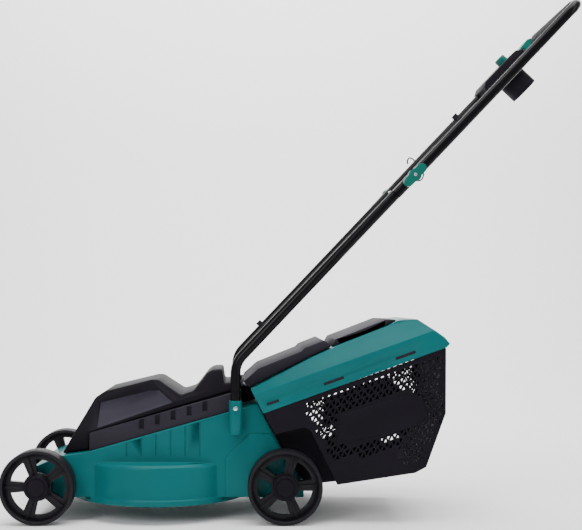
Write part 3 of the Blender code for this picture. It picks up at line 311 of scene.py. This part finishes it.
def softened(node, width, segments=2, angle=28):
    """A node's solid with its edges rounded as a moulding tool leaves them; less where a face is narrow."""
    bm = clean_copy(node)
    weight = bm.edges.layers.float.new("bevel_weight_edge")
    for edge in bm.edges:
        if len(edge.link_faces) == 2 and edge.calc_face_angle(0) > math.radians(angle):
            share = min(1.0, ACROSS * room_beside(edge) / width, ALONG * edge.calc_length() / width)
            edge[weight] = share if share > LEAST_SHARE else 0.0
    area = sum(face.calc_area() for face in bm.faces)
    whole = bpy.data.meshes.new(node)
    bm.to_mesh(whole)
    bmesh.ops.triangulate(bm, faces=bm.faces, quad_method="BEAUTY", ngon_method="BEAUTY")
    triangles = bpy.data.meshes.new(node)
    bm.to_mesh(triangles)
    bm.free()
    # A bevel now and then drops a large many-cornered face, which the area tells; then the next way is tried.
    for source, clamped in ((whole, False), (triangles, False), (whole, True)):
        obj = link(node + "_skin", source)
        bevel = obj.modifiers.new("rounded edges", "BEVEL")
        bevel.width = width
        bevel.segments = segments
        bevel.limit_method = "WEIGHT"
        bevel.use_clamp_overlap = clamped
        obj = evaluated(obj, node + "_skin")
        if LEAST_AREA < real_area(obj) / area < MOST_AREA or clamped:
            break
        bpy.data.objects.remove(obj, do_unlink=True)
    shade(paint(obj, FINISH[SLOT_OF[node]]))
    return mount(obj, BODY_OF[node], SLOT_OF[node], node)


def real_area(obj):
    """The summed area of an object's faces, each cut into triangles first."""
    bm = bmesh.new()
    bm.from_mesh(obj.data)
    bmesh.ops.triangulate(bm, faces=bm.faces)
    total = sum(face.calc_area() for face in bm.faces)
    bm.free()
    return total


def prism(outline, low, high, name="work", holes=()):
    """A flat (x, z) outline made solid across the mower, with any holes through it."""
    curve = bpy.data.curves.new(name, "CURVE")
    curve.dimensions = "2D"
    curve.fill_mode = "BOTH"
    curve.extrude = (high - low) / 2
    for ring in (outline, *holes):
        spline = curve.splines.new("POLY")
        spline.points.add(len(ring) - 1)
        for point, (a, b) in zip(spline.points, ring):
            point.co = (a, b, 0, 1)
        spline.use_cyclic_u = True
    obj = link(name, curve)
    obj.matrix_world = Matrix.Translation((0, (low + high) / 2, 0)) @ Matrix.Rotation(math.pi / 2, 4, "X")
    obj = evaluated(obj)
    bm = bmesh.new()
    bm.from_mesh(obj.data)
    bmesh.ops.remove_doubles(bm, verts=bm.verts, dist=0.000005)
    bmesh.ops.recalc_face_normals(bm, faces=bm.faces)
    bm.to_mesh(obj.data)
    bm.free()
    return obj


def rounded(obj, width, segments=2, angle=30):
    """The object with every edge sharper than the angle rounded to one width."""
    bm = bmesh.new()
    bm.from_mesh(obj.data)
    bmesh.ops.dissolve_limit(bm, angle_limit=math.radians(1.0), verts=bm.verts, edges=bm.edges)
    bm.to_mesh(obj.data)
    bm.free()
    bevel = obj.modifiers.new("rounded edges", "BEVEL")
    bevel.width = width
    bevel.segments = segments
    bevel.limit_method = "ANGLE"
    bevel.angle_limit = math.radians(angle)
    return evaluated(obj)


def cut(obj, other):
    """The object with the other one's shape taken out of it."""
    modifier = obj.modifiers.new("cut", "BOOLEAN")
    modifier.operation = "DIFFERENCE"
    modifier.solver = "EXACT"
    modifier.object = other
    result = evaluated(obj)
    bpy.data.objects.remove(other, do_unlink=True)
    return result


def tube_along(name, points, radius, sides):
    """A round bar along a path, with closed ends."""
    curve = bpy.data.curves.new(name, "CURVE")
    curve.dimensions = "3D"
    curve.bevel_depth = radius
    curve.bevel_resolution = sides
    curve.use_fill_caps = True
    spline = curve.splines.new("POLY")
    spline.points.add(len(points) - 1)
    for point, place in zip(spline.points, points):
        point.co = (*place, 1)
    return evaluated(link(name, curve))


def arc(centre, radius, start, end, count):
    """Points on part of a circle, both ends included."""
    return [(centre[0] + radius * math.cos(start + (end - start) * i / count),
             centre[1] + radius * math.sin(start + (end - start) * i / count)) for i in range(count + 1)]


def revolved(profile, steps, place, name="work", closed=True):
    """A profile of (radius, along) turned about the crosswise line through a place; closed, it makes a ring."""
    bm = bmesh.new()
    rings = []
    for radius, along in profile:
        if radius < 1e-7:
            rings.append([bm.verts.new((0, 0, along))])
        else:
            turns = [math.tau * i / steps for i in range(steps)]
            ring = [(radius * math.cos(t), radius * math.sin(t), along) for t in turns]
            rings.append([bm.verts.new(corner) for corner in ring])
    for low, high in zip(rings, rings[1:] + ([rings[0]] if closed else [])):
        for i in range(steps):
            j = (i + 1) % steps
            corners = [low[i % len(low)], low[j % len(low)], high[j % len(high)], high[i % len(high)]]
            face = [v for n, v in enumerate(corners) if v not in corners[:n]]
            if len(face) > 2:
                bm.faces.new(face)
    bmesh.ops.recalc_face_normals(bm, faces=bm.faces)
    obj = solid(name, bm)
    obj.data.transform(Matrix.Translation(place) @ Matrix.Rotation(-math.pi / 2, 4, "X"))
    return obj


def merged(name, *parts):
    """Several meshes as one object."""
    bm = bmesh.new()
    for part in parts:
        bm.from_mesh(part.data)
        bpy.data.objects.remove(part, do_unlink=True)
    return solid(name, bm)


def repeated(name, places, form):
    """Geometry Nodes: one form set at every vertex of a mesh of places and made real."""
    mesh = bpy.data.meshes.new(name)
    mesh.from_pydata(places, [], [])
    host = link(name, mesh)
    tree = bpy.data.node_groups.new("set at places", "GeometryNodeTree")
    tree.interface.new_socket("Geometry", in_out="INPUT", socket_type="NodeSocketGeometry")
    source = tree.interface.new_socket("Form", in_out="INPUT", socket_type="NodeSocketObject")
    tree.interface.new_socket("Geometry", in_out="OUTPUT", socket_type="NodeSocketGeometry")
    start = tree.nodes.new("NodeGroupInput")
    end = tree.nodes.new("NodeGroupOutput")
    points = add(tree, "GeometryNodeMeshToPoints", Mesh=start.outputs["Geometry"])
    info = add(tree, "GeometryNodeObjectInfo", Object=start.outputs["Form"])
    spread = add(tree, "GeometryNodeInstanceOnPoints", Points=points.outputs["Points"],
                 Instance=info.outputs["Geometry"])
    real = add(tree, "GeometryNodeRealizeInstances", Geometry=spread.outputs["Instances"])
    tree.links.new(real.outputs["Geometry"], end.inputs[0])
    modifier = host.modifiers.new("repeat", "NODES")
    modifier.node_group = tree
    modifier[source.identifier] = form
    result = evaluated(host)
    bpy.data.objects.remove(form, do_unlink=True)
    return result


# ---------------------------------------------------------------- deck, cover and sockets


FLANK_FOOT = 0.095          # height over the rear axle at which the hood's flanks start to lean in
FLANK_LEAN = 0.028 / 0.101  # how much they come in for each unit of height
PANEL_SUNK = 0.0012, 0.006  # the panels lie this far inside the flanks
POCKET_DEPTH = 0.0013       # the deepest floor that is taken as a pocket's


def panelled_cover():
    """The hood with its thick rounded border and the paler sunk panels on its flanks."""
    obj = softened("motor_cover", 0.0045, 3, 24)
    obj.data.materials.append(PANEL)
    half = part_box("motor_cover")[1].y
    for face in obj.data.polygons:
        flank = half - max(0.0, face.center.z - FLANK_FOOT - REAR_AXLE.z) * FLANK_LEAN
        if abs(face.normal.y) > 0.8 and PANEL_SUNK[0] < flank - abs(face.center.y) < PANEL_SUNK[1]:
            face.material_index = 1


def paint_pocket_shade(obj, within, slot):
    """Paints shade on the floors of both sides' shallow pockets: a darker finish there, as painted shade; within is
    the half width they lie inside.
    """
    obj.data.materials.append(FINISH[slot])
    for face in obj.data.polygons:
        sideways = abs(face.normal.y) > 0.95 and face.normal.y * face.center.y > 0
        if sideways and 0.0 < within - abs(face.center.y) < POCKET_DEPTH:
            face.material_index = 1


# ---------------------------------------------------------------- wheels


SPOKES = 5
WINDOW_TURN = 24          # half of a window's width, in degrees
WINDOW_OUTER, WINDOW_INNER = 0.0525, 0.0265
WINDOW_TAPER = 0.12       # radians by which a window is narrower, each side, at its inner end
WINDOW_CORNER = 0.0060
RING = 0.0075             # thickness of the tread ring
GROOVE = 0.0010           # depth of a tread groove, 2.4 mm across its mouth
SHOULDER = 0.0040         # where the tread turns into the wheel's side
CREASE = 0.0012           # step of each small chamfer
LAP = 0.0004              # how far the web and its ribs run into the ring
RIB_HALF, RIB_TIP_HALF, RIB_FOOT = 0.0026, 0.0022, 0.020
RIM_R, HUB_R, BORE_R = 0.0245, 0.0235, 0.0056


def tread_ring(place, inner, outer):
    """The ring that rolls: two fine grooves in its crown, chamfered shoulders and a hollowed inside."""
    rim, centre, third = WHEEL_R - RING, (inner + outer) / 2, (outer - inner) / 3
    profile = [(WHEEL_R - SHOULDER, outer), (WHEEL_R - CREASE, outer - CREASE), (WHEEL_R, outer - SHOULDER)]
    for y in (outer - third, inner + third):
        profile += [(WHEEL_R, y + CREASE), (WHEEL_R - GROOVE, y + CREASE / 2),
                    (WHEEL_R - GROOVE, y - CREASE / 2), (WHEEL_R, y - CREASE)]
    profile += [(WHEEL_R, inner + SHOULDER), (WHEEL_R - CREASE, inner + CREASE), (WHEEL_R - SHOULDER, inner),
                (rim + CREASE, inner), (rim, inner + 0.0014), (rim - GROOVE, centre), (rim, outer - 0.0014),
                (rim + CREASE, outer)]
    return revolved(profile, 96, place)


def wheel(node, cap, axle, phase):
    """Tread ring, a web with spokes between rounded windows and a rib down each, a hub and its domed cap."""
    low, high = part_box(node)
    inner, outer = sorted((abs(low.y), abs(high.y)))
    place = Vector(((low.x + high.x) / 2, 0, axle.z))
    centre, rim, web_y = (place.x, place.z), WHEEL_R - RING, (inner + outer) / 2
    step = 360 / SPOKES
    windows, ribs = [], []
    for i in range(SPOKES):
        start, end = (math.radians(step * i + phase + side) for side in (-WINDOW_TURN, WINDOW_TURN))
        ring = arc(centre, WINDOW_OUTER, start, end, 10)
        ring += arc(centre, WINDOW_INNER, end - WINDOW_TAPER, start + WINDOW_TAPER, 5)
        windows.append(rounded_ring(ring, WINDOW_CORNER, 4))
        taper = [(-RIB_HALF, RIB_FOOT), (RIB_HALF, RIB_FOOT), (RIB_TIP_HALF, rim + LAP), (-RIB_TIP_HALF, rim + LAP)]
        rib = prism(taper, web_y + 0.004, web_y + 0.0095, "rib")
        rib = rounded(rib, 0.0009)
        turn = math.pi / 2 - math.radians(step * i + phase + step / 2)
        rib.data.transform(Matrix.Translation(place) @ Matrix.Rotation(turn, 4, "Y"))
        ribs.append(rib)
    web = prism(arc(centre, rim + LAP, 0, math.tau, 64)[:-1], web_y - 0.004, web_y + 0.006, holes=windows)
    web = rounded(web, 0.0012)
    hub = revolved([(RIM_R, outer - 0.0085), (RIM_R, inner + 0.003), (HUB_R, inner + 0.002),
                    (BORE_R, inner + 0.002), (BORE_R, outer - 0.0085)], 48, place)
    dome = [(0.0235, -0.0075), (0.0235, -0.0010), (0.0222, 0.0006), (0.0190, 0.0014), (0.0178, 0.0002),
            (0.0166, 0.0002), (0.0154, 0.0016), (0.0090, 0.0028), (0.0, 0.0030), (0.0, -0.0075)]
    dome = revolved([(radius, outer + rise) for radius, rise in dome], 48, place, closed=False)
    tread = tread_ring(place, inner, outer)
    for name, slot, angle, parts in ((node, "wheel_plastic", 32, (tread, web, hub, *ribs)),
                                     (cap, "black_plastic", 34, (dome,))):
        made = shade(paint(merged(name + "_skin", *parts), FINISH[slot]), angle)
        if low.y < 0:
            made.data.transform(Matrix.Diagonal((1, -1, 1, 1)))
            made.data.flip_normals()
        mount(made, BODY_OF[name], slot, name)


BLUNT = math.radians(150)   # corners wider than this stay as they are


def rounded_ring(ring, radius, steps):
    """A closed outline with each sharp corner turned through a small arc."""
    result = []
    count = len(ring)
    for i in range(count):
        before, here, after = (Vector(ring[(i + k) % count]) for k in (-1, 0, 1))
        a, b = before - here, after - here
        if a.length < 1e-9 or b.length < 1e-9 or a.angle(b) > BLUNT:
            result.append(tuple(here))
            continue
        reach = min(radius, a.length * 0.48, b.length * 0.48)
        first, last = here + a.normalized() * reach, here + b.normalized() * reach
        for k in range(steps + 1):
            t = k / steps
            result.append(tuple((1 - t) ** 2 * first + 2 * t * (1 - t) * here + t ** 2 * last))
    return result


# ---------------------------------------------------------------- handle


def handle_tubes():
    """Bent steel tubes: long smooth runs, round bends and open ends with the wall showing."""
    for name in ("lower_tube_left", "lower_tube_right"):
        low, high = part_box(name)
        x, y, corner = low.x + TUBE_R, (low.y + high.y) / 2, REAR_AXLE.z + BEND_Z
        turn = math.pi / 2 - HANDLE_ANGLE
        reach = BEND_R * math.tan(turn / 2)
        bend = arc((x + BEND_R, corner - reach), BEND_R, math.pi, math.pi - turn, 16)
        top = (x + LOWER_RUN * math.cos(HANDLE_ANGLE), y, corner + LOWER_RUN * math.sin(HANDLE_ANGLE))
        points = [(x, y, low.z), *[(a, y, b) for a, b in bend], top]
        mount(open_tube(name, points), "chassis", "black_tube", name)
    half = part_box("handle_bow")[1].y - TUBE_R
    start = BOW_LENGTH - BOW_CORNER
    path = [(-BOW_STUB, -half)] + arc((start, BOW_CORNER - half), BOW_CORNER, -math.pi / 2, 0, 14)
    path += arc((start, half - BOW_CORNER), BOW_CORNER, 0, math.pi / 2, 14) + [(-BOW_STUB, half)]
    tube = open_tube("handle_bow", [on_bow(s, y, 0) for s, y in path])
    mount(tube, "upper_handle", "black_tube", "handle_bow")


def open_tube(name, points):
    """A round tube with a smooth outside, its bore, and the ring of wall at each end."""
    outside = tube_along(name + "_skin", points, TUBE_R, 8)
    bm = bmesh.new()
    bm.from_mesh(outside.data)
    bmesh.ops.remove_doubles(bm, verts=bm.verts, dist=0.000002)
    ends = [face for face in bm.faces if len(face.verts) > 4]
    for face in ends:
        bmesh.ops.inset_region(bm, faces=[face], thickness=TUBE_WALL, use_even_offset=True)
        depth = face.normal * -BORE_SHOWN
        push = bmesh.ops.extrude_face_region(bm, geom=[face])
        moved = [v for v in push["geom"] if isinstance(v, bmesh.types.BMVert)]
        bmesh.ops.translate(bm, verts=moved, vec=depth)
        bmesh.ops.delete(bm, geom=[face], context="FACES")
    bmesh.ops.recalc_face_normals(bm, faces=bm.faces)
    bm.to_mesh(outside.data)
    bm.free()
    return shade(paint(outside, FINISH["black_tube"]), 40)


def sleeve():
    """The foam grip over the crossbar, with its soft rounded ends."""
    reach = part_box("grip")[1].y
    end = [(GRIP_OUTER - 0.0020, 0), (GRIP_OUTER - 0.0006, 0.0008), (GRIP_OUTER, 0.003)]
    profile = [(GRIP_INNER, -reach), *[(radius, step - reach) for radius, step in end],
               *[(radius, reach - step) for radius, step in reversed(end)], (GRIP_INNER, reach)]
    made = revolved(profile, 64, on_bow(BOW_LENGTH, 0, 0), "grip_skin")
    mount(shade(paint(made, FINISH["grip_rubber"]), 40), "upper_handle", "grip_rubber", "grip")


def lead(node):
    """A length of the motor's lead, or the wire hook, rounder than its solid."""
    obj = solid(node + "_skin", clean_copy(node))
    smooth = obj.modifiers.new("round section", "SUBSURF")
    smooth.levels = smooth.render_levels = 1
    obj = shade(paint(evaluated(obj), FINISH[SLOT_OF[node]]), 60)
    mount(obj, BODY_OF[node], SLOT_OF[node], node)


# ---------------------------------------------------------------- grass box and flap

# Places measured back from the rear axle and up from it.
LID_CORNER = -0.0405, 0.1375
HOLED = ((0.0386, 0.1660), (0.0395, 0.1409), (0.0565, 0.1107), (0.0678, 0.0881), (0.0829, 0.0654),
         (0.0904, 0.0485), (0.2074, 0.0673), (0.2168, 0.0409), (0.2376, 0.0340), (0.2602, 0.0503),
         (0.2950, 0.1409), (0.2960, 0.2521))
PLATE = ((0.092, 0.108), (0.102, 0.144), (0.2390, 0.1815), (0.262, 0.166), (0.276, 0.131), (0.235, 0.105),
         (0.092, 0.071))
PITCH = 0.0136    # between one square of holes and the next
REACH = 0.0052    # half the side of the square that two triangular holes share
RIB = 0.0024      # offset that leaves the slanting rib between the two


def along_lid(u, v):
    """A place beside the lid's lower edge: along it from its front corner, and square to it."""
    start = behind(*LID_CORNER)
    return (start[0] + u * math.cos(LID_SLOPE) - v * math.sin(LID_SLOPE),
            start[1] + u * math.sin(LID_SLOPE) + v * math.cos(LID_SLOPE))


def inside(place, ring):
    """Whether a place lies in a closed outline."""
    x, z = place
    found = False
    for (ax, az), (bx, bz) in zip(ring, ring[1:] + ring[:1]):
        if (az > z) != (bz > z) and x < (bx - ax) * (z - az) / (bz - az) + ax:
            found = not found
    return found


def perforated_basket():
    """The basket, with rows of triangular air holes round the smooth plate on each side."""
    wall, plate = ([behind(*corner) for corner in outline] for outline in (HOLED, PLATE))
    places = []
    for row in range(20):
        for step in range(30):
            x, z = along_lid(0.006 + PITCH * (step + 0.5 * (row % 2)), -0.0140 - PITCH * row)
            if inside((x, z), wall) and not inside((x, z), plate):
                places.append((x, 0, z))
    near, far = RIB - REACH, REACH - RIB
    tilt = Matrix.Rotation(LID_SLOPE, 2)
    cuts = []
    for corners in ([(-REACH, near), (far, REACH), (-REACH, REACH)],
                    [(near, -REACH), (REACH, -REACH), (REACH, far)]):
        ring = [tuple(tilt @ Vector(corner)) for corner in rounded_ring(corners, 0.0008, 2)]
        cuts.append(prism(ring, -0.2, 0.2, "hole"))
    holes = repeated("holes", places, merged("hole", *cuts))
    tub = cut(rounded(solid("box_basket_skin", clean_copy("box_basket")), 0.0022, 2, 24), holes)
    mount(shade(paint(tub, FINISH["black_plastic"])), "grass_box", "black_plastic", "box_basket")


# ---------------------------------------------------------------- the whole mower

handle_tubes()
sleeve()
panelled_cover()
softened("deck_shell", 0.0020, 3)
band = softened("cover_band", 0.0010)
# Painted shade: the band's notch floors are painted black for the shadow that lies in the recess.
paint_pocket_shade(band, 0.1228, "black_plastic")
for side in ("left", "right"):
    softened("handle_socket_" + side, 0.0012)
    softened("socket_screw_" + side, 0.0006)
    softened("pivot_bolt_" + side, 0.0006)
    softened("knob_" + side, 0.0018, 3, 24)
    wheel("wheel_front_" + side, "hub_cap_front_" + side, FRONT_AXLE, 0)
    wheel("wheel_rear_" + side, "hub_cap_rear_" + side, REAR_AXLE, 40)
lid = softened("box_lid", 0.0030, 3, 12)
# Painted shade: the lid's shallow slot floors are painted dark grey for the shade inside a through slot.
paint_pocket_shade(lid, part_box("box_lid")[1].y - 0.0004, "grey_plastic")
softened("box_handle", 0.0018)
softened("rear_flap", 0.0016)
perforated_basket()
softened("switch_box_top", 0.0018, 3)
softened("switch_box_bottom", 0.0018, 3)
softened("switch_lever", 0.0012)
softened("safety_button", 0.0012)
softened("inlet_shroud", 0.0008)
softened("cable_clip_lower", 0.0005, 1)
softened("cable_clip_upper", 0.0005, 1)
for node in ("lower_cable", "upper_cable", "cable_hook"):
    lead(node)
for obj in frame["nodes"].values():
    if not obj.hide_render:
        paint(obj, FINISH[SLOT_OF[obj.name]])

# ---------------------------------------------------------------- floor, light and camera

FLOOR_Z = -0.0005                   # just under the wheels
SWEEP_START, SWEEP_R = 1.6, 1.2     # where the paper begins to rise behind the mower, and its curve

sweep = [(FLOOR_Z, -6.0), (FLOOR_Z, SWEEP_START)]
sweep += [(FLOOR_Z + SWEEP_R + z, SWEEP_START + y) for y, z in arc((0, 0), SWEEP_R, -math.pi / 2, 0, 12)[1:]]
sweep += [(4.0, SWEEP_START + SWEEP_R)]
floor_mesh = bpy.data.meshes.new("floor")
floor_mesh.from_pydata([(x, y, z) for z, y in sweep for x in (-6, 6)], [],
                       [(2 * i, 2 * i + 1, 2 * i + 3, 2 * i + 2) for i in range(len(sweep) - 1)])
floor = link("studio_sweep", floor_mesh)
floor.data.shade_smooth()
# Matt background paper, a little under white so that it keeps the soft shadows.
paper, _, paper_shader = shader_of("studio_paper", 0.9)
paper_shader.inputs["Base Color"].default_value = linear("#F4F4F4")
paint(floor, paper)

world = bpy.data.worlds.new("studio")
bpy.context.scene.world = world
world.use_nodes = True
world.node_tree.nodes["Background"].inputs["Color"].default_value = linear("#FFFFFF")
world.node_tree.nodes["Background"].inputs["Strength"].default_value = 0.5


def lamp(name, place, aim, width, height, power):
    """A softbox at a place, turned to what it lights."""
    data = bpy.data.lights.new(name, "AREA")
    data.shape = "RECTANGLE"
    data.size, data.size_y, data.energy = width, height, power
    obj = link(name, data)
    obj.location = place
    obj.rotation_mode = "QUATERNION"
    obj.rotation_quaternion = (Vector(aim) - Vector(place)).to_track_quat("-Z", "Y")


lamp("overhead_softbox", (0.1, -0.4, 2.4), (0, 0.1, 0.0), 2.6, 1.4, 75)
lamp("front_softbox", (-1.5, -2.4, 1.6), (-0.1, 0, 0.3), 1.0, 1.4, 38)
lamp("side_softbox", (2.2, -1.0, 1.4), (0.1, 0, 0.4), 0.8, 1.6, 14)
lamp("backdrop_wash", (0, 1.4, 2.6), (0, 2.8, 0.6), 4.0, 0.8, 125)

# A short telephoto level with the top of the grass box, square to the mower's left side.
camera_data = bpy.data.cameras.new("side_camera")
camera_data.sensor_width = 36.0
camera_data.lens = 64.8
camera_data.shift_x = 0.0825
camera_data.shift_y = 0.0619
camera = link("side_camera", camera_data)
camera.location = (-0.0936, -2.135, 0.4207)
camera.rotation_euler = (math.pi / 2, 0, 0)
bpy.context.scene.camera = camera
